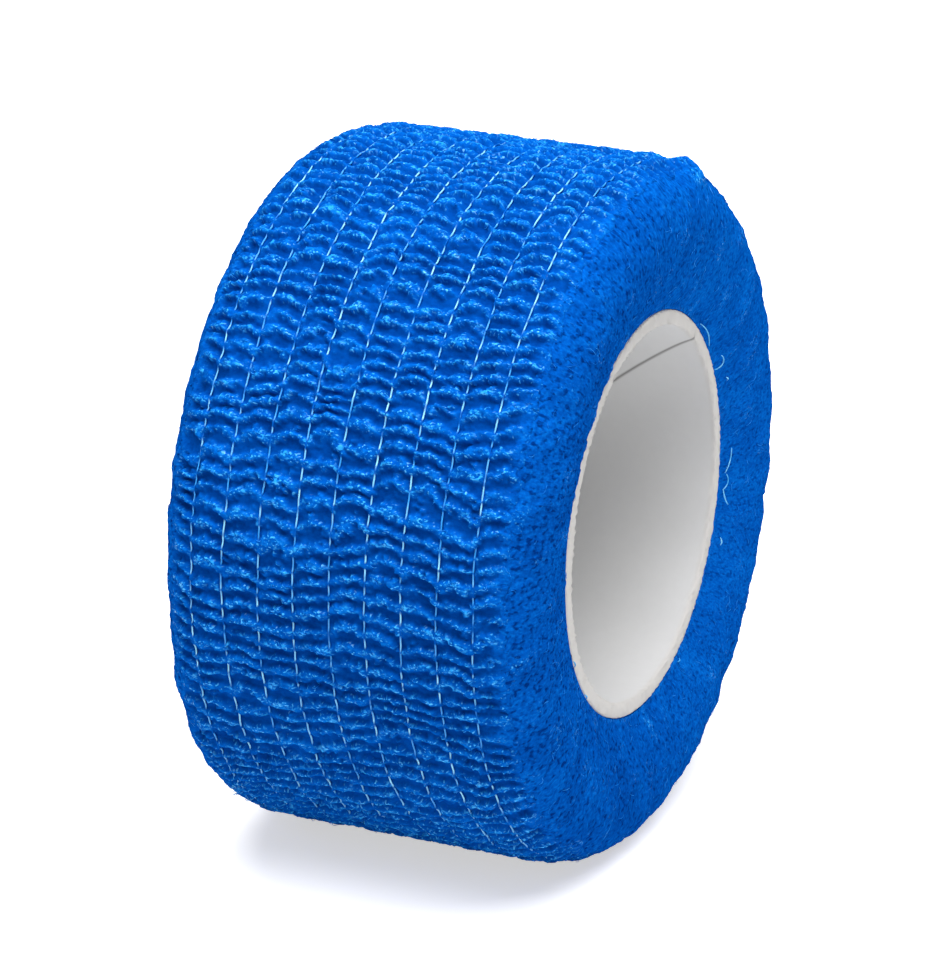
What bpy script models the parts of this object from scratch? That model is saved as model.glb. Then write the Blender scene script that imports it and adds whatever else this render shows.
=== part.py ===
"""Cohesive bandage roll: gathered cling cloth wound on a paper core, lying on its side.

The roll's axis runs along Y, and the flat that its weight presses lies at Z = 0. The end at -Y is
called near, and the end at +Y far. Angles round the roll start straight down and run up through the
-X side to the top. Lengths are in metres.
"""

import math
import random
from collections import namedtuple

import bmesh
import bpy

# The paper core
CORE_BORE_RADIUS = 0.0127
CORE_WALL = 0.0010
CORE_LENGTH = 0.0239
CORE_CHAMFER = 0.00015
CORE_SIDES = 48
FIT_GAP = 0.0003

# The wound cloth: the crests' form in eight sections, an eighth of a turn apart from straight down.
# Near and far are how far each end stands out from the middle thread.
Section = namedtuple("Section", "radius near far")
SECTIONS = (
    Section(radius=0.02381, near=0.01352, far=0.01483),
    Section(radius=0.02406, near=0.01325, far=0.01410),
    Section(radius=0.02419, near=0.01323, far=0.01304),
    Section(radius=0.02396, near=0.01368, far=0.01315),
    Section(radius=0.02381, near=0.01382, far=0.01343),
    Section(radius=0.02400, near=0.01335, far=0.01310),
    Section(radius=0.02412, near=0.01315, far=0.01305),
    Section(radius=0.02396, near=0.01336, far=0.01371),
)
SHOULDER = 0.00465
FACE_EDGE = CORE_LENGTH / 2 + 0.00005
REST_WIDTH = 0.0080

# The elastic threads and the gathers that they draw up. Bow and shifts are in columns of points.
THREADS = 9
THREAD_PITCH = 0.00248
THREAD_DEPTH = 0.00040
THREAD_DIP = 0.00006
GATHERS = 104
GATHER_DEPTH = 0.00045
GATHER_BOW = 0.30
PLEAT_HEIGHTS = (0.55, 1.0)
PLEAT_SHIFTS = (-0.2, 0.2)
GATHER_SEED = 7

# The cut end of the cloth, stuck down on the turn under it at the back. The slope is in columns.
CLOTH_THICKNESS = 0.00045
END_ANGLE = math.radians(285)
END_RISE = math.radians(70)
END_SLOPE = 0.3

# Rings of points: fine round the gathered side, coarse on the ends and in the bore
SIDE_COLUMNS = 2 * GATHERS
END_COLUMNS = SIDE_COLUMNS // 4
EDGE_TURN = math.radians(45)
LAST_STRIP_TURN = math.radians(60)
SHOULDER_TURNS = (math.radians(22), 0.0)
FACE_SHARES = (0.45, 0.0)

SHARP_ANGLE = math.radians(50)
REST_HEIGHT = math.sqrt(SECTIONS[0].radius ** 2 - (REST_WIDTH / 2) ** 2)
MIDDLE_Y = (max(s.near for s in SECTIONS) - max(s.far for s in SECTIONS)) / 2

Pleat = namedtuple("Pleat", "height shift")


def clear_scene():
    for item in list(bpy.data.objects):
        bpy.data.objects.remove(item, do_unlink=True)


def plain_material(name, colour, roughness):
    material = bpy.data.materials.new(name)
    material.use_nodes = True
    shader = material.node_tree.nodes["Principled BSDF"]
    shader.inputs["Base Color"].default_value = (*colour, 1.0)
    shader.inputs["Roughness"].default_value = roughness
    shader.inputs["Metallic"].default_value = 0.0
    return material


def form_at(angle):
    """The roll's section at any angle, eased from one row of SECTIONS to the next."""
    place = angle / math.tau * len(SECTIONS) % len(SECTIONS)
    index = int(place)
    share = place - index
    eased = share * share * (3 - 2 * share)
    before, after = SECTIONS[index], SECTIONS[(index + 1) % len(SECTIONS)]
    radius, near, far = (a + (b - a) * eased for a, b in zip(before, after))
    return Section(radius + end_lift(angle), near, far)


def end_lift(angle):
    """How far the last turn stands up: it grows to the cloth's thickness at the cut end."""
    share = 1 - (END_ANGLE - angle) / END_RISE
    if not 0 < share <= 1:
        return 0.0
    return CLOTH_THICKNESS * share * share * (3 - 2 * share)


def shoulder_point(side, turn, form):
    """A point on the rounded edge: turn 0 is where it meets the end, a quarter turn the side."""
    half = form.far if side > 0 else form.near
    y = side * (half - SHOULDER + SHOULDER * math.cos(turn))
    return y, form.radius - SHOULDER + SHOULDER * math.sin(turn)


def crest_radius(y, form):
    """The radius of the crests at y, which falls away round the shoulders."""
    past = abs(y) - (form.far if y > 0 else form.near) + SHOULDER
    if past <= 0:
        return form.radius
    return form.radius - SHOULDER + math.sqrt(SHOULDER**2 - past**2)


def column_angle(column, shift):
    """The angle of a column of the gathered side. The two at the cloth's cut end close up on it."""
    pitch = math.tau / SIDE_COLUMNS
    from_end = column - END_ANGLE / pitch
    if abs(from_end) < 1:
        return END_ANGLE + math.copysign(END_SLOPE / 2 * pitch, from_end)
    if abs(from_end) < 2:
        return column * pitch
    return (column + shift) * pitch


def add_point(mesh, angle, y, radius):
    return mesh.verts.new((-radius * math.sin(angle), y, -radius * math.cos(angle)))


def side_ring(mesh, place, pleats, thread):
    """A ring across the gathers, along a thread or along the middle of a strip between two."""
    points = []
    for column in range(SIDE_COLUMNS):
        pleat = pleats[column // 2]
        angle = column_angle(column, 0.0 if thread else GATHER_BOW + pleat.shift)
        y, crest = place(form_at(angle))
        valley = column % 2
        if thread:
            depth = THREAD_DEPTH + THREAD_DIP * valley
        elif valley:
            depth = GATHER_DEPTH
        else:
            depth = GATHER_DEPTH * (1 - pleat.height)
        radius = crest - depth
        if crest * math.cos(angle) >= REST_HEIGHT:
            radius = REST_HEIGHT / math.cos(angle)
        points.append(add_point(mesh, angle, y, radius))
    return points


def end_ring(mesh, place):
    """A plain ring on a shoulder, an end or the bore."""
    angles = [math.tau * column / END_COLUMNS for column in range(END_COLUMNS)]
    return [add_point(mesh, angle, *place(form_at(angle))) for angle in angles]


def face_point(side, share, form):
    """A point on a crowned end: share 0 is at the core, where the ends are even, and 1 at the top."""
    half = form.far if side > 0 else form.near
    bore = CORE_BORE_RADIUS + CORE_WALL + FIT_GAP
    crown = 1 - (1 - share) ** 2
    radius = bore + share * (form.radius - SHOULDER - bore)
    return side * (FACE_EDGE + (half - FACE_EDGE) * crown), radius


def join_rings(mesh, coarse, fine):
    """Faces between two rings, of which the fine one may have several points for each coarse one."""
    step = len(fine) // len(coarse)
    turn = step // 2
    for i, corner in enumerate(coarse):
        following = coarse[(i + 1) % len(coarse)]
        arc = [fine[(i * step + j) % len(fine)] for j in range(step + 1)]
        if step == 1:
            mesh.faces.new((corner, following, arc[1], arc[0]))
            continue
        for j in range(step):
            mesh.faces.new((corner if j < turn else following, arc[j + 1], arc[j]))
        mesh.faces.new((corner, following, arc[turn]))


def side_rings(mesh):
    """The gathered side from the near cut edge to the far one, a thread and a strip in turn."""
    chance = random.Random(GATHER_SEED)
    outer_y = (THREADS - 1) / 2 * THREAD_PITCH
    places = [lambda form: shoulder_point(-1, EDGE_TURN, form),
              lambda form: shoulder_point(-1, LAST_STRIP_TURN, form)]
    for row in range(2 * THREADS - 1):
        y = -outer_y + row * THREAD_PITCH / 2
        places.append(lambda form, y=y: (y, crest_radius(y, form)))
    places.append(lambda form: shoulder_point(1, LAST_STRIP_TURN, form))
    places.append(lambda form: shoulder_point(1, EDGE_TURN, form))
    rings = []
    for row, place in enumerate(places):
        pleats = [Pleat(chance.uniform(*PLEAT_HEIGHTS), chance.uniform(*PLEAT_SHIFTS))
                  for _ in range(GATHERS)]
        rings.append(side_ring(mesh, place, pleats, thread=row % 2 == 0))
    return rings


def end_rings(mesh, side):
    """The rings of one end, from the shoulder in to the bore."""
    rings = [end_ring(mesh, lambda form, t=t: shoulder_point(side, t, form)) for t in SHOULDER_TURNS]
    rings += [end_ring(mesh, lambda form, s=s: face_point(side, s, form)) for s in FACE_SHARES]
    return rings


def close_mesh(mesh, name, material):
    """Turn the faces outwards and make the object."""
    bmesh.ops.recalc_face_normals(mesh, faces=mesh.faces)
    data = bpy.data.meshes.new(name)
    mesh.to_mesh(data)
    mesh.free()
    data.shade_smooth()
    data.set_sharp_from_angle(angle=SHARP_ANGLE)
    data.materials.append(material)
    item = bpy.data.objects.new(name, data)
    bpy.context.collection.objects.link(item)
    return item


def bandage_roll():
    """The wound cloth: a ring with a gathered side, soft shoulders, crowned ends and a bore."""
    mesh = bmesh.new()
    side = side_rings(mesh)
    near, far = end_rings(mesh, -1), end_rings(mesh, 1)
    for first, second in zip(side, side[1:]):
        join_rings(mesh, first, second)
    join_rings(mesh, near[0], side[0])
    join_rings(mesh, far[0], side[-1])
    for rings in (near, far):
        for first, second in zip(rings, rings[1:]):
            join_rings(mesh, first, second)
    join_rings(mesh, near[-1], far[-1])
    cloth = plain_material("blue_cling_cloth", (0.006, 0.130, 0.560), 0.85)
    return close_mesh(mesh, "bandage_roll", cloth)


def core_tube():
    """The paper tube, turned from the outline of its wall, with the sharp corners of its rims eased."""
    mesh = bmesh.new()
    inner, outer, half = CORE_BORE_RADIUS, CORE_BORE_RADIUS + CORE_WALL, CORE_LENGTH / 2
    wall = [(inner + CORE_CHAMFER, -half), (outer - CORE_CHAMFER, -half), (outer, CORE_CHAMFER - half),
            (outer, half - CORE_CHAMFER), (outer - CORE_CHAMFER, half), (inner + CORE_CHAMFER, half),
            (inner, half - CORE_CHAMFER), (inner, CORE_CHAMFER - half)]
    points = [mesh.verts.new((radius, y, 0.0)) for radius, y in wall]
    edges = [mesh.edges.new((a, b)) for a, b in zip(points, points[1:] + points[:1])]
    bmesh.ops.spin(mesh, geom=edges + points, cent=(0, 0, 0), axis=(0, 1, 0), dvec=(0, 0, 0),
                   angle=math.tau, steps=CORE_SIDES, use_merge=True, use_duplicate=False)
    paper = plain_material("pale_core_paper", (0.700, 0.690, 0.675), 0.70)
    return close_mesh(mesh, "core_tube", paper)


clear_scene()
roll_axis = bpy.data.objects.new("roll_axis", None)
roll_axis.location = (0.0, MIDDLE_Y, REST_HEIGHT)
bpy.context.collection.objects.link(roll_axis)
for piece in (bandage_roll(), core_tube()):
    piece.parent = roll_axis
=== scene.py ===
"""A roll of blue cohesive bandage on its paper core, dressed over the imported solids.

Places on the roll are given by an angle round its axis, which starts straight down and runs up
through the -X side, and by a distance in mm along the axis or over the cloth. The near end is at -Y.
"""

import math

import bpy
import numpy as np
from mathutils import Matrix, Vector


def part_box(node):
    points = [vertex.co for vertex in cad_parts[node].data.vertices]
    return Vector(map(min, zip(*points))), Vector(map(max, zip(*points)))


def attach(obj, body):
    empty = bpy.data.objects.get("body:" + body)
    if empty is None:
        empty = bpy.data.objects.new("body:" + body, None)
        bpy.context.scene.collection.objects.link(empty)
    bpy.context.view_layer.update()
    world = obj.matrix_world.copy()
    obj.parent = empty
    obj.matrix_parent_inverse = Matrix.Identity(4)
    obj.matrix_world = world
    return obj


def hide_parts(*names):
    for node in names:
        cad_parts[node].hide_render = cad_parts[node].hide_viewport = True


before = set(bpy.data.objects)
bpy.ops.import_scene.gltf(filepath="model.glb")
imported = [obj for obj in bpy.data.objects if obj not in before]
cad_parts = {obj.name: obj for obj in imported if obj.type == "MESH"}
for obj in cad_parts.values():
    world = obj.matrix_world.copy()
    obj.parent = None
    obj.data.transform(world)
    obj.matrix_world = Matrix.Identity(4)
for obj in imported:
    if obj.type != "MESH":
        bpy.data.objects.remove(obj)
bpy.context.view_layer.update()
MM = 0.001
TURN = math.tau


# The core: a tube wound from a wide strip of pale board, glued and cut off square. One butt seam
# of its inner ply climbs round the bore, and the knife has left the two rims slightly furred.
core_low, core_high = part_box("core_tube")
AXIS_Y = (core_low[1] + core_high[1]) / 2
AXIS_Z = (core_low[2] + core_high[2]) / 2
CORE_RADIUS = (core_high[0] - core_low[0]) / 2 / MM
CORE_HALF = (core_high[1] - core_low[1]) / 2 / MM
CORE_WALL = 1.0
INNER_ZONE = (CORE_RADIUS - 0.3, CORE_RADIUS - CORE_WALL + 0.05)
RIM_ROUND = 0.16
RIM_CORNER = np.radians([0, 30, 60, 90])
RIM_ZONE = (CORE_HALF - 0.5, CORE_HALF - 0.05)
RIM_RAG = (
    # height in mm, seed, length in mm
    (0.035, 3, 1.1),
    (0.020, 4, 0.45),
)
RAG_ACROSS = 9
RAG_INWARD = 0.6
BORE_RINGS = 72
BORE_MARGIN = 0.4
BORE_SWELL = 0.03
OUTER_RINGS = 15
OUTER_MARGIN = 1.0
CORE_COLUMNS = 400
SEAM_AT_RIM = math.radians(220)
SEAM_CLIMB = math.radians(3.94)
SEAM_DEPTH = 0.03
SEAM_WIDTH = 0.0100
SEAM_COLUMNS = SEAM_WIDTH * np.array([-1.5, -0.75, 0, 0.75, 1.5])
SEAM_CLEAR = 0.02
BOARD_COLOUR = (0.575, 0.575, 0.576, 1)
BOARD_FLECK = (0.605, 0.605, 0.605, 1)
RIM_COLOUR = (0.560, 0.546, 0.528, 1)
SEAM_COLOUR = (0.210, 0.207, 0.203, 1)
FIELD_RADIUS = 22.0
FIELD_SPREAD = (0.75, 1.6)


def ripple(angle, across, seed, length, stretch=1.0, waves=18):
    """A smooth random field with a spread of 1, which is the same again after a full turn.

    Its features are about length mm across the cloth and stretch times that round the roll.
    """
    chance = np.random.default_rng(seed)
    total = np.zeros(np.broadcast(angle, across).shape)
    for _ in range(waves):
        heading = chance.uniform(0, TURN)
        number = TURN / (length * chance.uniform(*FIELD_SPREAD))
        round_turns = round(FIELD_RADIUS * number * math.cos(heading) / stretch)
        total += np.sin(round_turns * angle + number * math.sin(heading) * across
                        + chance.uniform(0, TURN))
    return total / math.sqrt(waves / 2)


def layers(angle, across, rows, seed=0):
    """Ripples added up, one for each row of its height, seed, length and maybe its stretch."""
    return sum(height * ripple(angle, across, seed + number, *shape)
               for height, number, *shape in rows)


def ease(low, high, value):
    """0 below low, 1 above high, and a smooth step between."""
    share = np.clip((value - low) / (high - low), 0, 1)
    return share * share * (3 - 2 * share)


def about_axis(angle, along, radius):
    """Points round the roll's axis, from mm to the frame's metres."""
    shape = np.broadcast(angle, along, radius).shape
    x = np.broadcast_to(-radius * np.sin(angle), shape)
    y = np.broadcast_to(along, shape)
    z = np.broadcast_to(-radius * np.cos(angle), shape)
    return np.stack([x * MM, y * MM + AXIS_Y, z * MM + AXIS_Z], -1)


def make_piece(name, points, faces, material, slot, **marks):
    """An object that rides with the roll, with its marks kept as named values on its points."""
    mesh = bpy.data.meshes.new(name)
    mesh.from_pydata(points.reshape(-1, 3), [], faces)
    mesh.shade_smooth()
    for mark, values in marks.items():
        vectors = values.size > len(mesh.vertices)
        kind, field = ("FLOAT_VECTOR", "vector") if vectors else ("FLOAT", "value")
        layer = mesh.attributes.new(mark, kind, "POINT")
        layer.data.foreach_set(field, np.ascontiguousarray(values, dtype=np.float32).ravel())
    mesh.materials.append(material)
    piece = bpy.data.objects.new(name, mesh)
    bpy.context.collection.objects.link(piece)
    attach(piece, "root")
    return piece


def ring_faces(rows, columns, closed=False):
    """Quads between rows of points, each row a ring round the roll."""
    index = np.arange(rows * columns).reshape(rows, columns)
    if closed:
        index = np.vstack([index, index[:1]])
    beside = np.roll(index, -1, 1)
    quads = np.stack([index[:-1], beside[:-1], beside[1:], index[1:]], -1)
    return quads.reshape(-1, 4)


def new_material(name):
    """A material with its Principled shader, its nodes and its links."""
    material = bpy.data.materials.new(name)
    material.use_nodes = True
    tree = material.node_tree
    return material, tree.nodes["Principled BSDF"], tree.nodes, tree.links


def blend(nodes, links, factor, first, second):
    """A colour that goes from first to second with the factor; each is a colour or a socket."""
    mix = nodes.new("ShaderNodeMix")
    mix.data_type = "RGBA"
    links.new(factor, mix.inputs["Factor"])
    for value, socket in ((first, mix.inputs["A"]), (second, mix.inputs["B"])):
        if isinstance(value, tuple):
            socket.default_value = value
        else:
            links.new(value, socket)
    return mix.outputs["Result"]


def mark_value(nodes, name):
    """The value that a piece's points carry under this name."""
    node = nodes.new("ShaderNodeAttribute")
    node.attribute_name = name
    return node.outputs["Fac"]


def board_material():
    material, shader, nodes, links = new_material("core_board")
    place = nodes.new("ShaderNodeTexCoord")
    flecks = nodes.new("ShaderNodeTexNoise")
    flecks.inputs["Scale"].default_value = 1400
    flecks.inputs["Detail"].default_value = 5
    links.new(place.outputs["Object"], flecks.inputs["Vector"])
    tone = blend(nodes, links, flecks.outputs["Fac"], BOARD_COLOUR, BOARD_FLECK)
    tone = blend(nodes, links, mark_value(nodes, "rim"), tone, RIM_COLOUR)
    tone = blend(nodes, links, mark_value(nodes, "seam"), tone, SEAM_COLOUR)
    links.new(tone, shader.inputs["Base Color"])
    fibres = nodes.new("ShaderNodeBump")
    fibres.inputs["Strength"].default_value = 0.12
    fibres.inputs["Distance"].default_value = 0.00004
    links.new(flecks.outputs["Fac"], fibres.inputs["Height"])
    links.new(fibres.outputs["Normal"], shader.inputs["Normal"])
    shader.inputs["Roughness"].default_value = 0.70
    shader.inputs["Specular IOR Level"].default_value = 0.25
    return material


def core_points():
    """The tube's rings: its bore, far rim, outer wall and near rim, sheared to follow the seam."""
    bore = CORE_RADIUS - CORE_WALL
    set_in = RIM_ROUND * (1 - np.cos(RIM_CORNER))
    set_back = RIM_ROUND * (1 - np.sin(RIM_CORNER))
    rim = list(zip(bore + set_in, CORE_HALF - set_back))
    rim += [(CORE_RADIUS - CORE_WALL / 2, CORE_HALF)]
    rim += list(zip(CORE_RADIUS - set_back, CORE_HALF - set_in))
    bore_half, outer_half = CORE_HALF - BORE_MARGIN, CORE_HALF - OUTER_MARGIN
    profile = [(bore, y) for y in np.linspace(-bore_half, bore_half, BORE_RINGS)]
    profile += rim + [(CORE_RADIUS, y) for y in np.linspace(outer_half, -outer_half, OUTER_RINGS)]
    profile += [(radius, -y) for radius, y in reversed(rim)]
    radius, along = np.array(profile).T[:, :, None]
    plain = np.linspace(SEAM_CLEAR, TURN - SEAM_CLEAR, CORE_COLUMNS)
    columns = np.concatenate([plain, TURN + SEAM_COLUMNS])
    angle = columns + SEAM_AT_RIM + SEAM_CLIMB * (along + CORE_HALF)
    inner = ease(*INNER_ZONE, radius)
    seam = np.exp(-((columns - TURN) / SEAM_WIDTH) ** 2) * inner
    at_rim = ease(*RIM_ZONE, np.abs(along))
    rag = layers(angle, RAG_ACROSS * radius, RIM_RAG) * at_rim
    swell = BORE_SWELL * ripple(angle, along, 5, 9) * inner
    radius = radius + SEAM_DEPTH * seam + swell - RAG_INWARD * rag
    return about_axis(angle, along + np.sign(along) * rag, radius), seam, at_rim + 0 * seam


core_places, core_seam, core_rim = core_points()
core = make_piece("paper_core", core_places, ring_faces(*core_seam.shape, closed=True),
                  board_material(), "core_paper", seam=core_seam, rim=core_rim)
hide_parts("core_tube")


# The wound web: one strip of crinkled cloth, clinging to itself. Each end shows the cut edges of
# about twenty turns, pressed into a felted face that bulges between the core and the shoulder.
FORM = np.array([
    # radius, near, far
    (23.81, 13.52, 14.83),
    (24.06, 13.25, 14.10),
    (24.19, 13.23, 13.04),
    (23.96, 13.68, 13.15),
    (23.81, 13.82, 13.43),
    (24.00, 13.35, 13.10),
    (24.12, 13.15, 13.05),
    (23.96, 13.36, 13.71),
])
SHOULDER = 4.65
SHOULDER_SHARE = 0.38
TURN_THICKNESS = 0.52
END_ANGLE = math.radians(285)
END_RISE = math.radians(70)
CUT_RAGGED = 0.006
BORE_RADIUS = CORE_RADIUS + 0.05
BORE_LAP = (
    # mm out from the core's wall, mm past its rim
    (0.01, -0.10),
    (-0.06, -0.45),
)
# Painted shade where the cloth meets the core: the lap rows are coloured as if deep in a gap.
BORE_LAP_SHADE = 0.3
BORE_FADE = (1.0, 0.95)
OUTER_EDGE = 12.4
END_START = OUTER_EDGE - 0.75
END_FLUSH = CORE_HALF - 0.03
END_PATH = 9.2
END_SEEDS = {-1: 100, 1: 200}
END_LEVEL = -0.11
END_WAVES = (
    # height in mm, seed, length in mm, stretch
    (0.050, 1, 3.2, 1.0),
    (0.012, 5, 0.34, 1.4),
)
END_ROUGH = 0.74
END_ROUGH_SWING = 0.26
EDGE_WANDER = 0.35
EDGE_HEIGHT = 0.035
EDGE_MIDDLE = 0.6
CRIMP_HEIGHT = 0.028
GAP_ZONE = (0.7, 1.9)
GAP_DEPTH = 0.05
TUCK_DEPTH = 0.30
TUCK_ZONE = (0.045, 0.0)
LIPS = (
    # degrees round the roll, spread in degrees, height in mm
    (200.0, 3.5, 0.60),
    (191.0, 7.0, -0.30),
)
LIP_RAMP = (10.0, 11.2)
LIP_FADE = (0.16, 0.05)
FELTED = 0.84
FELTED_SWING = 0.16
# Painted light: each end is coloured lighter on its +X side.
PAINTED_LIGHT_SIDE = (0.4, -0.5)
PAINTED_LIGHT_SHARE = 0.40
# Painted light: an end's high spots are coloured lighter.
RAISED_ZONE = (-0.08, 0.12)
RAISED_SHARE = 0.8
FLOW_START = 30
FLOW_END = (23.0, 0.9)
END_COLUMNS = 840
END_ROWS = 57
CLOTH_DARK = (0.0003, 0.027, 0.180, 1)
CLOTH_MID = (0.0006, 0.078, 0.405, 1)
CLOTH_LIGHT = (0.0030, 0.190, 0.710, 1)
# Painted highlights: the pale colours of the creases along the ridges and of the flecks, where the
# cloth glints.
CREASE_HIGHLIGHT = (0.0200, 0.330, 0.800, 1)
FLECK_HIGHLIGHT = (0.0450, 0.430, 0.900, 1)
CLOTH_RAMP = (
    # level, colour
    (0.02, CLOTH_DARK),
    (0.46, CLOTH_MID),
    (1.00, CLOTH_LIGHT),
)
CLOTH_LEVEL = 0.37
PIT_BAND = (0.53, 0.70)
FOLD_BAND = (0.46, 0.60)
STRAY_BAND = (0.62, 0.74)
FLECK_BAND = (0.65, 0.75)


def form_at(angle):
    """The radius of the crests and the near and far half widths, eased between the sections."""
    place = np.asarray(angle) / TURN * len(FORM) % len(FORM)
    index = place.astype(int) % len(FORM)
    share = ease(0, 1, place - np.floor(place))[..., None]
    form = FORM[index] * (1 - share) + FORM[(index + 1) % len(FORM)] * share
    lift = ease(0, 1, 1 - (END_ANGLE - angle % TURN) / END_RISE) * (angle % TURN <= END_ANGLE)
    return form[..., 0] + TURN_THICKNESS * lift, form[..., 1], form[..., 2]


def on_end(angle, inward, side, height):
    """Points of an end: inward runs from 0, under the outer turn's edge, to 1 at the bore."""
    radius, near, far = form_at(angle)
    half = near if side < 0 else far
    start = (END_START - (half - SHOULDER)) / SHOULDER
    bend = start + (math.pi / 2 - start) * np.clip(inward / SHOULDER_SHARE, 0, 1)
    share = np.clip((inward - SHOULDER_SHARE) / (1 - SHOULDER_SHARE), 0, 1)
    top = radius - SHOULDER
    reach = top + (BORE_RADIUS - top) * share + (SHOULDER + height) * np.cos(bend)
    crown = END_FLUSH + (half - END_FLUSH) * (1 - share**2)
    rounded = half - SHOULDER + (SHOULDER + height) * np.sin(bend)
    return about_axis(angle, side * np.where(share > 0, crown + height, rounded), reach)


def lip_at(angle):
    """Height of the near edge of the last turns, which dips in one place and stands up beyond it."""
    height = 0 * angle
    for middle, spread, rise in LIPS:
        away = (np.degrees(angle % TURN) - middle) / spread
        height = height + rise * np.exp(-(away**2))
    return height


def end_relief(angle, inward, seed):
    """Height of the felted edges and how open the gaps between them are, which sets the gaps' painted
    shade; softer on the +X side.
    """
    path = inward * END_PATH
    rough = END_ROUGH + END_ROUGH_SWING * np.sin(angle)
    turns = path / TURN_THICKNESS + angle / TURN + EDGE_WANDER * ripple(angle, path, seed + 2, 2.2)
    edges = np.abs(np.sin(math.pi * turns)) - EDGE_MIDDLE
    crimps = ripple(angle, path, seed + 3, 0.62, 1.5)
    gaps = ease(*GAP_ZONE, ripple(angle, path, seed + 4, 0.40, 1.7) - 0.5 * edges) * rough
    height = layers(angle, path, END_WAVES, seed) + END_LEVEL - GAP_DEPTH * gaps
    height += rough * (EDGE_HEIGHT * edges + CRIMP_HEIGHT * crimps)
    return height * ease(*BORE_FADE, inward) - TUCK_DEPTH * ease(*TUCK_ZONE, inward), gaps


def cloth_group():
    """Shader group: the cloth's blue with its painted highlights on creases and flecks, its bump and
    its shine.

    Open and Raised say how deep in a gap and how high on a ridge a point lies, Crest how near to
    the fold along a ridge, and Felted how far the cloth shows only its cut edges and pinholes.
    Gaps, pockets and pinholes are coloured darker as painted shade, and ridge tops lighter as
    painted light. Only the creases and the flecks shine, and their pale colour is a painted highlight.
    """
    tree = bpy.data.node_groups.new("cling_cloth", "ShaderNodeTree")
    tree.interface.new_socket("Flow", in_out="INPUT", socket_type="NodeSocketVector")
    for name in ("Open", "Raised", "Crest", "Felted"):
        tree.interface.new_socket(name, in_out="INPUT", socket_type="NodeSocketFloat")
    for name, kind in (("Colour", "Color"), ("Height", "Float"), ("Shine", "Float")):
        tree.interface.new_socket(name, in_out="OUTPUT", socket_type="NodeSocket" + kind)
    nodes, links = tree.nodes, tree.links
    given, out = nodes.new("NodeGroupInput").outputs, nodes.new("NodeGroupOutput").inputs

    def noise(per_mm, detail):
        node = nodes.new("ShaderNodeTexNoise")
        node.inputs["Scale"].default_value = per_mm
        node.inputs["Detail"].default_value = detail
        links.new(given["Flow"], node.inputs["Vector"])
        return node.outputs["Fac"]

    def sums(operation, *values):
        node = nodes.new("ShaderNodeMath")
        node.operation = operation
        for socket, value in zip(node.inputs, values):
            if isinstance(value, (int, float)):
                socket.default_value = value
            else:
                links.new(value, socket)
        return node.outputs[0]

    def band(value, low, high):
        node = nodes.new("ShaderNodeMapRange")
        node.interpolation_type = "SMOOTHSTEP"
        node.inputs["From Min"].default_value = low
        node.inputs["From Max"].default_value = high
        links.new(value, node.inputs["Value"])
        return node.outputs["Result"]

    def centred(value):
        return sums("SUBTRACT", value, 0.5)

    grain = noise(4.8, 2)
    crumple = noise(2.2, 2)
    clouds = noise(0.30, 2)
    dabs = noise(6.2, 1)
    pits = sums("MULTIPLY", band(noise(3.0, 1), *PIT_BAND), given["Felted"])
    rough = sums("MAXIMUM", given["Raised"], sums("MULTIPLY", given["Felted"], 0.7))
    rough = sums("MULTIPLY_ADD", rough, 0.75, 0.25)
    # Painted highlights: pale dabs along the ridges' folds, stray ones on the ridges and small flecks
    # where the cloth glints. They also carry the coat's real shine and some bump.
    fold = sums("MULTIPLY", band(dabs, *FOLD_BAND), given["Crest"])
    stray = sums("MULTIPLY", band(dabs, *STRAY_BAND), given["Raised"])
    crease_highlight = sums("MAXIMUM", fold, sums("MULTIPLY", stray, 0.5))
    fleck_highlight = sums("MULTIPLY", band(noise(8.5, 0), *FLECK_BAND), given["Raised"])

    # The tone: ridge tops are coloured lighter as painted light, and gaps, pockets and the felted
    # ends' pinholes darker as painted shade. Grain, clouds and the felted ends vary it as the cloth's
    # own tone.
    level = CLOTH_LEVEL
    for value, share in (
        (given["Raised"], 0.19),
        (given["Open"], -0.24),
        (centred(grain), sums("MULTIPLY", rough, 1.15)),
        (centred(clouds), 0.40),
        (given["Felted"], 0.09),
        (pits, -0.36),
    ):
        level = sums("MULTIPLY_ADD", value, share, level)
    ramp = nodes.new("ShaderNodeValToRGB")
    first, last = ramp.color_ramp.elements
    first.position, first.color = CLOTH_RAMP[0]
    last.position, last.color = CLOTH_RAMP[-1]
    for place, colour in CLOTH_RAMP[1:-1]:
        ramp.color_ramp.elements.new(place).color = colour
    links.new(level, ramp.inputs["Fac"])
    highlighted = blend(nodes, links, crease_highlight, ramp.outputs["Color"], CREASE_HIGHLIGHT)
    links.new(blend(nodes, links, fleck_highlight, highlighted, FLECK_HIGHLIGHT), out["Colour"])

    height = sums("MULTIPLY", sums("MULTIPLY_ADD", grain, 0.55, crumple), rough)
    for value, share in ((crease_highlight, 0.35), (pits, -0.8)):
        height = sums("MULTIPLY_ADD", value, share, height)
    links.new(height, out["Height"])
    links.new(sums("MULTIPLY_ADD", fleck_highlight, 0.70, sums("MULTIPLY", crease_highlight, 0.30)), out["Shine"])
    return tree


CLOTH = cloth_group()


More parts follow.
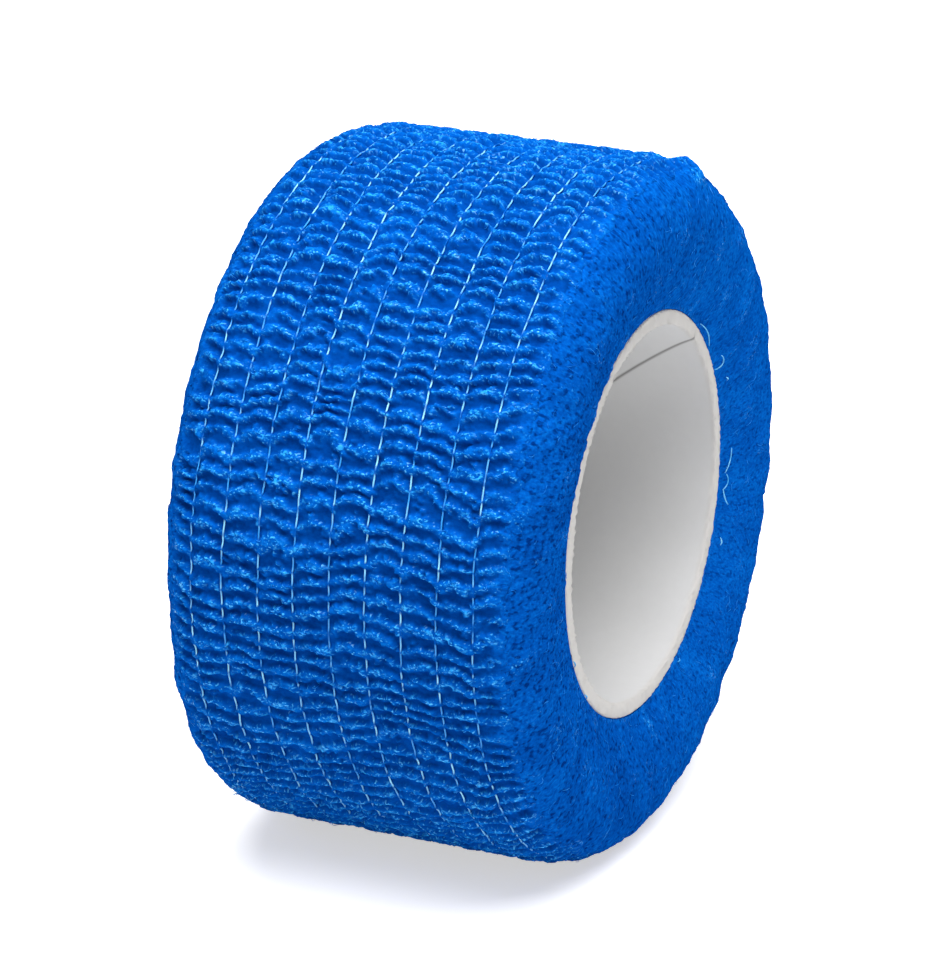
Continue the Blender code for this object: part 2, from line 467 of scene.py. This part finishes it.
def cloth_material(name, bump):
    """The cloth's finish, dull but for its creases, with its own share of bump."""
    material, shader, nodes, links = new_material(name)
    group = nodes.new("ShaderNodeGroup")
    group.node_tree = CLOTH
    flow = nodes.new("ShaderNodeAttribute")
    flow.attribute_name = "flow"
    links.new(flow.outputs["Vector"], group.inputs["Flow"])
    for mark in ("Open", "Raised", "Crest", "Felted"):
        links.new(mark_value(nodes, mark.lower()), group.inputs[mark])
    relief = nodes.new("ShaderNodeBump")
    relief.inputs["Strength"].default_value = bump
    relief.inputs["Distance"].default_value = 0.00012
    links.new(group.outputs["Height"], relief.inputs["Height"])
    links.new(relief.outputs["Normal"], shader.inputs["Normal"])
    links.new(group.outputs["Colour"], shader.inputs["Base Color"])
    links.new(group.outputs["Shine"], shader.inputs["Coat Weight"])
    shader.inputs["Coat Roughness"].default_value = 0.18
    shader.inputs["Roughness"].default_value = 0.85
    shader.inputs["Specular IOR Level"].default_value = 0.0
    return material


def flow_marks(angle, across, radius, share):
    """Places in mm that carry the finish round the roll without a seam.

    A share under 1 draws the finish out across the cloth.
    """
    across = np.broadcast_to(share * across, np.broadcast(angle, across).shape)
    angle = np.broadcast_to(angle, across.shape)
    return np.stack([radius * np.sin(angle), radius * np.cos(angle), across], -1)


end_finish = cloth_material("felted_edges", bump=0.60)
for end_name, end_side in (("turn_edges_near", -1), ("turn_edges_far", 1)):
    angle = np.linspace(0, TURN, END_COLUMNS, endpoint=False)[None, :]
    inward = np.linspace(0, 1, END_ROWS)[:, None]
    height, gaps = end_relief(angle, inward, END_SEEDS[end_side])
    if end_side < 0:
        height = height + lip_at(angle) * ease(*LIP_FADE, inward)
    places = [on_end(angle, inward, end_side, height)]
    for out, along in BORE_LAP:
        places.append(about_axis(angle, end_side * (CORE_HALF + along), CORE_RADIUS + out))
    lap = len(BORE_LAP)
    inward = np.concatenate([inward] + lap * [inward[-1:]])
    # The lap rows at the core get painted shade.
    gaps = np.concatenate([gaps] + lap * [BORE_LAP_SHADE + 0 * gaps[-1:]])
    # Painted light: an end's high spots are marked to be coloured lighter.
    raised = np.concatenate([ease(*RAISED_ZONE, height)] + lap * [0 * gaps[-1:]])
    # Painted light: the +X side of each end is coloured lighter.
    painted_light_side = ease(*PAINTED_LIGHT_SIDE, np.sin(angle))
    faces = ring_faces(*gaps.shape)
    make_piece(end_name, np.concatenate(places), faces if end_side < 0 else faces[:, ::-1], end_finish,
               "cohesive_cloth", open=gaps - PAINTED_LIGHT_SHARE * painted_light_side, raised=RAISED_SHARE * raised,
               crest=0 * gaps, felted=FELTED + FELTED_SWING * np.sin(angle) + 0 * gaps,
               flow=flow_marks(angle, end_side * FLOW_START + END_PATH * inward, *FLOW_END))


# The outer turn: the same web, gathered by its nine elastic threads into rough ridges with smooth
# pockets between. It sits between the threads in ten strips, and its cut end is stuck down behind.
THREADS = 9
THREAD_PITCH = 2.48
THREAD_LINES = (np.arange(THREADS) - THREADS // 2) * THREAD_PITCH
STRIPS = THREADS + 1
STRIP_BLEND = 0.34
STRIP_APART = 3
STRIP_DRIFT = (
    # share of a gather, seed, length in mm
    (0.20, 300, 11),
    (0.11, 320, 3.5),
)
MEAN_RADIUS = 23.6
GATHERS = 128
GATHER_PITCH = TURN * MEAN_RADIUS / GATHERS
GATHER_BOW = 0.27
BOW_SWING = 0.10
SLANT_SWING = 0.10
GATHER_WANDER = (
    # share of a gather, seed, length in mm, stretch
    (0.28, 342, 15, 0.8),
    (0.11, 343, 6, 0.8),
    (0.064, 344, 0.8, 1.0),
    (0.048, 345, 0.42, 1.0),
)
VALLEY_LEVEL = -0.48
RIDGE_HEIGHT = 0.54
RIDGE_SIZE = 0.84
RIDGE_SIZE_SWING = 0.24
RIDGE_LEAST_SIZE = 0.5
RIDGE_WIDTH = 0.30
RIDGE_WIDTH_SWING = 0.20
RIDGE_LEAST_WIDTH = 0.14
RIDGE_END = (11.1, 12.1)
RIDGE_END_SWING = 0.25
CRUMPLE_HEIGHT = 0.07
PINCH_WIDTH = 0.34
PINCH_DEPTH = 0.05
PINCH_LOSS = 0.42
PINCH_SMOOTHS = 0.6
POCKET_SWELL = 0.035
FUZZ_HEIGHT = 0.010
FELT_LEVEL = -VALLEY_LEVEL - 0.10
FELT_SWELL = 0.03
FELT_SHARE = 0.8
CREST_CAP = 0.44
CREST_WIDTH = 0.085
CREST_WANDER = 0.05
CREST_SOFTNESS = 0.07
CREST_BREAKS = (-0.9, 0.3)
EDGE_RAG = 0.08
EDGE_TUCK = 0.25
EDGE_TUCK_ZONE = (0.985, 1.0)
UNDERSIDE = 0.9
FLOW_SIDE = (MEAN_RADIUS, 0.7)
SIDE_COLUMNS = 1400
SIDE_ROWS = 66


def strip_phase(angle, strip):
    """How far the gathers of a strip are out of step, which drifts round the roll."""
    drift = np.zeros(np.broadcast(angle, strip).shape)
    for number in range(STRIPS):
        drift += np.where(strip == number, layers(angle, 0 * angle, STRIP_DRIFT, number), 0)
    return drift


def side_relief(angle, across):
    """The outer turn's height over its valleys, and its marks for the finish."""
    strip = np.clip(np.floor(across / THREAD_PITCH + STRIPS / 2), 0, STRIPS - 1)
    place = np.clip(across / THREAD_PITCH + THREADS / 2 - strip, -0.5, 0.5)
    beside = np.clip(strip + np.sign(place), 0, STRIPS - 1)
    share = 0.5 * ease(STRIP_BLEND, 0.5, np.abs(place))
    drift = (1 - share) * strip_phase(angle, strip) + share * strip_phase(angle, beside)
    bow = GATHER_BOW + BOW_SWING * ripple(angle, strip * STRIP_APART, 340, 5)
    slant = SLANT_SWING * ripple(angle, strip * STRIP_APART, 341, 6)
    phase = GATHERS * angle / TURN + drift - bow * (1 - 4 * place**2) + slant * place
    phase += layers(angle, across, GATHER_WANDER)
    away = np.abs(phase - np.floor(phase) - 0.5) * GATHER_PITCH

    size = RIDGE_SIZE + RIDGE_SIZE_SWING * ripple(angle, across, 346, 2.0, 1.2)
    width = RIDGE_WIDTH * (1 + RIDGE_WIDTH_SWING * ripple(angle, across, 347, 1.8))
    ridge = np.exp(-((away / np.maximum(width, RIDGE_LEAST_WIDTH)) ** 3))
    crumple = 0.6 * ripple(angle, across, 348, 0.42) + np.abs(ripple(angle, across, 349, 0.7)) - 0.7
    from_thread = np.abs(across[..., None] - THREAD_LINES).min(-1)
    pinch = np.exp(-((from_thread / PINCH_WIDTH) ** 2))
    height = ridge * np.maximum(size, RIDGE_LEAST_SIZE) * RIDGE_HEIGHT * (1 - PINCH_LOSS * pinch)
    height += ridge * CRUMPLE_HEIGHT * crumple * (1 - PINCH_SMOOTHS * pinch)
    height = CREST_CAP - CREST_SOFTNESS * np.logaddexp(0, (CREST_CAP - height) / CREST_SOFTNESS)
    height += POCKET_SWELL * ripple(angle, across, 350, 1.0) * (1 - ridge)
    height += FUZZ_HEIGHT * ripple(angle, across, 351, 0.35) - PINCH_DEPTH * pinch

    end_wave = RIDGE_END_SWING * ripple(angle, 0 * angle, 352, 1.6)
    fade = ease(*RIDGE_END, np.abs(across) + end_wave)
    felt = FELT_LEVEL + FELT_SWELL * ripple(angle, across, 353, 0.7)
    height = height * (1 - fade) + felt * fade + lip_at(angle) * ease(*LIP_RAMP, -across)
    off_crest = away + CREST_WANDER * ripple(angle, across, 354, 0.9)
    crest = np.exp(-((off_crest / CREST_WIDTH) ** 2))
    crest *= ease(*CREST_BREAKS, ripple(angle, across, 355, 1.6)) * (1 - fade)
    # Painted light and shade: ridge tops are marked to be coloured lighter, and the pockets between
    # the ridges darker.
    raised = ridge * ease(0.0, 0.5, height) * (1 - 0.6 * fade)
    pocket_shade = 0.8 * (1 - ridge) ** 2 * (1 - fade)
    return height, {"raised": raised, "open": pocket_shade, "crest": crest, "felted": FELT_SHARE * fade}


def on_side(angle, across, height):
    """Points of the outer turn: across runs over the cloth from its middle, near end negative."""
    radius, near, far = form_at(angle + CUT_RAGGED * ripple(across, 0 * across, 361, 1.0))
    flat = np.where(across < 0, near, far) - SHOULDER
    bend = np.maximum(np.abs(across) - flat, 0) / SHOULDER
    level = SHOULDER + VALLEY_LEVEL + height
    along = np.sign(across) * (np.minimum(np.abs(across), flat) + level * np.sin(bend))
    reach = radius - SHOULDER + level * np.cos(bend)
    down = np.cos(angle)
    to_floor = AXIS_Z / MM / np.maximum(down, UNDERSIDE)
    return about_axis(angle, along, np.where(down > UNDERSIDE, np.minimum(reach, to_floor), reach))


side_finish = cloth_material("gathered_web", bump=0.60)
for side_name, side_sign in (("outer_turn_near", -1), ("outer_turn_far", 1)):
    angle = np.linspace(0, TURN, SIDE_COLUMNS, endpoint=False)[None, :] + np.zeros((SIDE_ROWS, 1))
    edge = OUTER_EDGE + EDGE_RAG * ripple(angle, 0 * angle, 360 + side_sign, 1.3)
    share = np.linspace(0, 1, SIDE_ROWS)[:, None]
    across = side_sign * share * edge
    height, marks = side_relief(angle, across)
    height = height - EDGE_TUCK * ease(*EDGE_TUCK_ZONE, share)
    faces = ring_faces(SIDE_ROWS, SIDE_COLUMNS)
    make_piece(
        side_name, on_side(angle, across, height), faces if side_sign > 0 else faces[:, ::-1],
        side_finish, "cohesive_cloth", flow=flow_marks(angle, across, *FLOW_SIDE), **marks)
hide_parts("bandage_roll")


# The elastic threads: nine pale strands laid in the web as it is made. They bridge the pockets in
# plain sight and sink into each ridge, so every one reads as a row of dashes.
THREAD_RADIUS = 0.062
THREAD_LEVEL = 0.105
THREAD_RIDE = 0.33
THREAD_HOP = 0.03
THREAD_WANDER = 0.035
THREAD_APART = 3
THREAD_SHOWN = (0.13, 0.0)
THREAD_STEPS = 1000
THREAD_SIDES = 4
THREAD_PALE = (0.300, 0.760, 1.000, 1)
THREAD_DIM = (0.030, 0.320, 0.800, 1)
THREAD_SUNK = (0.0015, 0.090, 0.440, 1)


def mottled(nodes, links, scale, low, high, first, second):
    """A colour that changes from place to place: first where the noise is under low."""
    place = nodes.new("ShaderNodeTexCoord")
    tint = nodes.new("ShaderNodeTexNoise")
    tint.inputs["Scale"].default_value = scale
    links.new(place.outputs["Object"], tint.inputs["Vector"])
    share = nodes.new("ShaderNodeMapRange")
    share.inputs["From Min"].default_value = low
    share.inputs["From Max"].default_value = high
    links.new(tint.outputs["Fac"], share.inputs["Value"])
    return blend(nodes, links, share.outputs["Result"], first, second)


def thread_material():
    """Pale where a thread lies bare, and the cloth's blue where it sinks into a ridge."""
    material, shader, nodes, links = new_material("elastic_strand")
    bare = mottled(nodes, links, 420, 0.42, 0.62, THREAD_DIM, THREAD_PALE)
    shown = mark_value(nodes, "bare")
    links.new(blend(nodes, links, shown, THREAD_SUNK, bare), shader.inputs["Base Color"])
    links.new(shown, shader.inputs["Coat Weight"])
    shader.inputs["Coat Roughness"].default_value = 0.30
    shader.inputs["Roughness"].default_value = 0.60
    shader.inputs["Specular IOR Level"].default_value = 0.0
    return material


def threads():
    """Nine closed tubes round the roll, as one mesh."""
    angle = np.linspace(0, TURN, THREAD_STEPS, endpoint=False)[None, :, None]
    sides = np.linspace(0, TURN, THREAD_SIDES, endpoint=False)[None, None, :]
    lines = THREAD_LINES[:, None, None]
    lines = lines + THREAD_WANDER * ripple(angle, lines * THREAD_APART, 400, 6)
    under = side_relief(np.broadcast_to(angle, lines.shape), lines)[0]
    hop = THREAD_HOP * ripple(angle, THREAD_APART * lines, 401, 1.2)
    level = THREAD_LEVEL + THREAD_RIDE * under + hop
    bare = ease(*THREAD_SHOWN, under) + 0 * sides
    across = lines + THREAD_RADIUS * np.cos(sides)
    places = on_side(angle + 0 * across, across, level + THREAD_RADIUS * np.sin(sides))
    starts = np.arange(len(THREAD_LINES)) * THREAD_STEPS * THREAD_SIDES
    faces = [start + ring_faces(THREAD_STEPS, THREAD_SIDES, closed=True) for start in starts]
    return places, np.concatenate(faces), bare


thread_places, thread_faces, thread_bare = threads()
make_piece("elastic_threads", thread_places, thread_faces, thread_material(), "cohesive_cloth",
           bare=thread_bare)


# The lint: loose ends of the web's fibres, which stand a little off the ridges and the cut edges
# and catch the light.
STRAND_STEPS = 4
STRAND_TAPER = 0.35
TINY = 1e-12
CURL = 0.35
LIFT = (0.01, 0.08)
LEAST_LIFT = 0.02
SIDE_LINT = 1600
SIDE_LINT_LENGTH = (0.12, 0.40)
SIDE_LINT_ACROSS = 12.0
SIDE_LINT_LIMIT = 12.2
SIDE_LINT_SWAY = 0.40
SPARE_PLACES = 4
END_LINT = 360
END_LINT_LENGTH = (0.3, 0.9)
END_RADIUS = 19.0
BORE_LINT_SHARE = 0.08
BORE_LINT_PLACE = 0.985
LINT_DARK = (0.002, 0.130, 0.580, 1)
LINT_PALE = (0.040, 0.340, 0.880, 1)


def strands(name, paths, thickness, finish):
    """Thin three-sided hairs, each along its own path of points, joined in one piece."""
    count, steps = paths.shape[:2]
    along = np.gradient(paths, axis=1)
    along /= np.linalg.norm(along, axis=2, keepdims=True) + TINY
    out = paths - np.array([0, AXIS_Y, AXIS_Z])
    flank = np.cross(along, out)
    flank /= np.linalg.norm(flank, axis=2, keepdims=True) + TINY
    out = np.cross(flank, along)
    belly = np.sin(math.pi * np.linspace(0.12, 0.88, steps))[:, None]
    girth = thickness * MM * (STRAND_TAPER + (1 - STRAND_TAPER) * belly)
    corners = [math.cos(turn) * out + math.sin(turn) * flank for turn in (0, TURN / 3, -TURN / 3)]
    points = np.stack([paths + girth * corner for corner in corners], 2)
    corner = np.arange(count * steps * 3).reshape(count, steps, 3)
    beside = np.roll(corner, -1, 2)
    quads = np.stack([corner[:, :-1], beside[:, :-1], beside[:, 1:], corner[:, 1:]], -1)
    caps = np.concatenate([corner[:, 0, ::-1], corner[:, -1]])
    faces = quads.reshape(-1, 4).tolist() + caps.tolist()
    return make_piece(name, points, faces, finish, "cohesive_cloth")


def curls(chance, count, length):
    """Steps of curled hairs: how far each goes forward, sideways and up from its place."""
    share = np.linspace(0, 1, STRAND_STEPS)[None, :]
    reach = chance.uniform(*length, (count, 1)) * chance.choice([-1, 1], (count, 1))
    curl = chance.uniform(-CURL, CURL, (count, 1)) * np.abs(reach)
    lift = chance.uniform(*LIFT, (count, 1))
    rise = np.sin(math.pi * share * chance.uniform(0.5, 1.0, (count, 1)))
    return share * reach, curl * np.sin(math.pi * share), LEAST_LIFT + lift * rise


def fibre_material(name, dark, pale):
    material, shader, nodes, links = new_material(name)
    links.new(mottled(nodes, links, 800, 0.40, 0.72, dark, pale), shader.inputs["Base Color"])
    shader.inputs["Roughness"].default_value = 0.60
    shader.inputs["Specular IOR Level"].default_value = 0.0
    return material


def side_lint(count, seed):
    """Paths of hairs over the outer turn, most of them along the crests of its ridges."""
    chance = np.random.default_rng(seed)
    places = count * SPARE_PLACES
    angle = chance.uniform(0, TURN, (places, 1))
    across = chance.uniform(-SIDE_LINT_ACROSS, SIDE_LINT_ACROSS, (places, 1))
    raised = side_relief(angle, across)[1]["raised"]
    keep = np.argsort(-(raised[:, 0] + chance.uniform(0, 0.25, places)))[:count]
    forward, sideways, lift = curls(chance, count, SIDE_LINT_LENGTH)
    heading = chance.normal(0, SIDE_LINT_SWAY, (count, 1))
    across = across[keep] + forward * np.cos(heading) - sideways * np.sin(heading)
    across = np.clip(across, -SIDE_LINT_LIMIT, SIDE_LINT_LIMIT)
    angle = angle[keep] + (forward * np.sin(heading) + sideways * np.cos(heading)) / MEAN_RADIUS
    return on_side(angle, across, side_relief(angle, across)[0] + lift)


def end_lint(count, seed, end_side):
    """Paths of hairs over an end, running every way, and closer together at the bore."""
    chance = np.random.default_rng(seed)
    angle = chance.uniform(0, TURN, (count, 1))
    at_bore = chance.random((count, 1)) < BORE_LINT_SHARE
    elsewhere = chance.uniform(0.02, 1.0, (count, 1)) ** 0.8
    inward = np.where(at_bore, BORE_LINT_PLACE, elsewhere)
    forward, sideways, lift = curls(chance, count, END_LINT_LENGTH)
    heading = chance.uniform(0, TURN, (count, 1))
    inward = inward + (forward * np.cos(heading) - sideways * np.sin(heading)) / END_PATH
    inward = np.clip(inward, 0.0, 0.995)
    angle = angle + (forward * np.sin(heading) + sideways * np.cos(heading)) / END_RADIUS
    under = end_relief(angle, inward, END_SEEDS[end_side])[0]
    return on_end(angle, inward, end_side, under + lift)


lint = fibre_material("lint", LINT_DARK, LINT_PALE)
strands("side_lint", side_lint(SIDE_LINT, seed=500), thickness=0.024, finish=lint)
strands("near_end_lint", end_lint(END_LINT, seed=501, end_side=-1), thickness=0.017, finish=lint)
strands("far_end_lint", end_lint(END_LINT, seed=502, end_side=1), thickness=0.017, finish=lint)


# The loose ends: short bits of elastic that spring out round the core's edge on the near end, a
# frayed tuft low on the far shoulder, and the frays along the web's cut end at the back.
LOOSE_ENDS = (
    # degrees round the roll, mm from the axis, heading in degrees, length in mm, curl in degrees
    (219.0, 13.84, 8, 3.10, -20),
    (239.0, 14.34, 36, 1.60, -170),
    (247.6, 14.46, 8, 0.35, 0),
    (269.7, 14.64, -14, 1.90, -5),
    (277.1, 14.20, 25, 1.30, -70),
    (281.5, 14.10, -12, 1.40, 75),
    (295.1, 14.37, 13, 0.60, 0),
    (336.0, 13.93, 180, 0.40, 0),
    (51.8, 13.97, 180, 0.58, 0),
    (67.7, 14.30, 180, 0.55, 0),
)
LOOSE_STEPS = 12
LOOSE_LEVEL = 0.10
LOOSE_ARCH = 0.10
LOOSE_SLOPE = 0.42
LOOSE_DARK = (0.060, 0.400, 0.820, 1)
LOOSE_PALE = (0.280, 0.720, 0.960, 1)
TUFT_ANGLES = (math.radians(38) - 0.03, math.radians(38) + 0.05)
TUFT_ACROSS = (11.0 - 0.9, 11.0 + 0.6)
CUT_ANGLES = (END_ANGLE - 0.012, END_ANGLE)
CUT_ACROSS = (-12.0, 12.0)
FRAY_RADIUS = 23.9
FRAY_SPREAD = 1.5
FRAY_LEVEL = 0.03


def loose_ends():
    """Paths of the bits of elastic, which lie close over the near end and curl in its plane."""
    start, radius, heading, length, curl = np.array(LOOSE_ENDS).T[:, :, None]
    share = np.linspace(0, 1, LOOSE_STEPS)[None, :]
    course = np.radians(heading + curl * share)
    step = length / LOOSE_STEPS
    reach = radius + np.cumsum(step * np.sin(course), 1)
    angle = np.radians(start) + np.cumsum(step * np.cos(course), 1) / reach
    over_end = CORE_HALF + LOOSE_LEVEL + LOOSE_SLOPE * np.maximum(reach - CORE_RADIUS, 0)
    return about_axis(angle, -over_end - LOOSE_ARCH * np.sin(math.pi * share), reach)


def frays(seed, count, angles, across, length, lift):
    """Paths of curled hairs that start in a patch of the outer turn and stand out from it."""
    chance = np.random.default_rng(seed)
    forward, sideways, _ = curls(chance, count, length)
    share = np.linspace(0, 1, STRAND_STEPS)[None, :]
    angle = chance.uniform(*angles, (count, 1)) + np.abs(forward) / FRAY_RADIUS
    across = chance.uniform(*across, (count, 1)) + FRAY_SPREAD * sideways
    stand = chance.uniform(*lift, (count, 1)) * share**1.5
    return on_side(angle, across, side_relief(angle, across)[0] + FRAY_LEVEL + stand)


loose_fibre = fibre_material("loose_elastic", LOOSE_DARK, LOOSE_PALE)
strands("loose_ends", loose_ends(), thickness=0.055, finish=loose_fibre)
tuft = frays(510, 14, TUFT_ANGLES, TUFT_ACROSS, length=(0.2, 0.6), lift=(0.1, 0.45))
strands("tuft", tuft, thickness=0.026, finish=loose_fibre)
cut_frays = frays(511, 120, CUT_ANGLES, CUT_ACROSS, length=(0.2, 0.8), lift=(0.0, 0.15))
strands("cut_frays", cut_frays, thickness=0.022, finish=lint)


# The floor, the light and the camera, at the photograph's viewing angle. The floor is grey where it
# lights the roll, and the camera alone sees it lifted to the photograph's white.
FLOOR_SIZE = 4.0
FLOOR_COLOUR = (0.84, 0.84, 0.84, 1)
FLOOR_LIFT = 0.57
CAMERA_AZIMUTH = math.radians(-65.95)
CAMERA_ELEVATION = math.radians(20.33)
CAMERA_DISTANCE = 0.300
CAMERA_LENS = 168.9
AIM = Vector((-0.00295, AXIS_Y, AXIS_Z + 0.00163))
WORLD_STRENGTH = 0.11
LAMPS = (
    # name, place, size, watts
    ("top_softbox", (-0.10, -0.08, 0.60), 0.62, 8.9),
    ("left_softbox", (-0.48, 0.14, 0.38), 0.45, 0.40),
)

floor_mesh = bpy.data.meshes.new("studio_floor")
half = FLOOR_SIZE / 2
corners = [(-half, -half, 0), (half, -half, 0), (half, half, 0), (-half, half, 0)]
floor_mesh.from_pydata(corners, [], [(0, 1, 2, 3)])
floor_finish, floor_shader, floor_nodes, floor_links = new_material("studio_white")
floor_shader.inputs["Base Color"].default_value = FLOOR_COLOUR
floor_shader.inputs["Roughness"].default_value = 0.9
floor_shader.inputs["Specular IOR Level"].default_value = 0.0
floor_shader.inputs["Emission Strength"].default_value = FLOOR_LIFT
light_path = floor_nodes.new("ShaderNodeLightPath")
floor_links.new(light_path.outputs["Is Camera Ray"], floor_shader.inputs["Emission Color"])
floor_mesh.materials.append(floor_finish)
floor = bpy.data.objects.new("studio_floor", floor_mesh)
bpy.context.collection.objects.link(floor)

world = bpy.data.worlds.new("studio")
world.use_nodes = True
world.node_tree.nodes["Background"].inputs["Color"].default_value = (1, 1, 1, 1)
world.node_tree.nodes["Background"].inputs["Strength"].default_value = WORLD_STRENGTH
bpy.context.scene.world = world
for light_name, spot, size, power in LAMPS:
    lamp = bpy.data.lights.new(light_name, "AREA")
    lamp.size = size
    lamp.energy = power
    light = bpy.data.objects.new(light_name, lamp)
    light.location = spot
    light.rotation_euler = (Vector(spot) - AIM).to_track_quat("Z", "Y").to_euler()
    bpy.context.collection.objects.link(light)

flat_reach = math.cos(CAMERA_ELEVATION)
view_from = Vector((math.sin(CAMERA_AZIMUTH) * flat_reach, -math.cos(CAMERA_AZIMUTH) * flat_reach,
                    math.sin(CAMERA_ELEVATION)))
lens = bpy.data.cameras.new("photo_camera")
lens.lens = CAMERA_LENS
lens.clip_start = 0.01
camera = bpy.data.objects.new("photo_camera", lens)
camera.location = AIM + CAMERA_DISTANCE * view_from
camera.rotation_euler = view_from.to_track_quat("Z", "Y").to_euler()
bpy.context.collection.objects.link(camera)
bpy.context.scene.camera = camera
bpy.context.scene.view_settings.view_transform = "Standard"
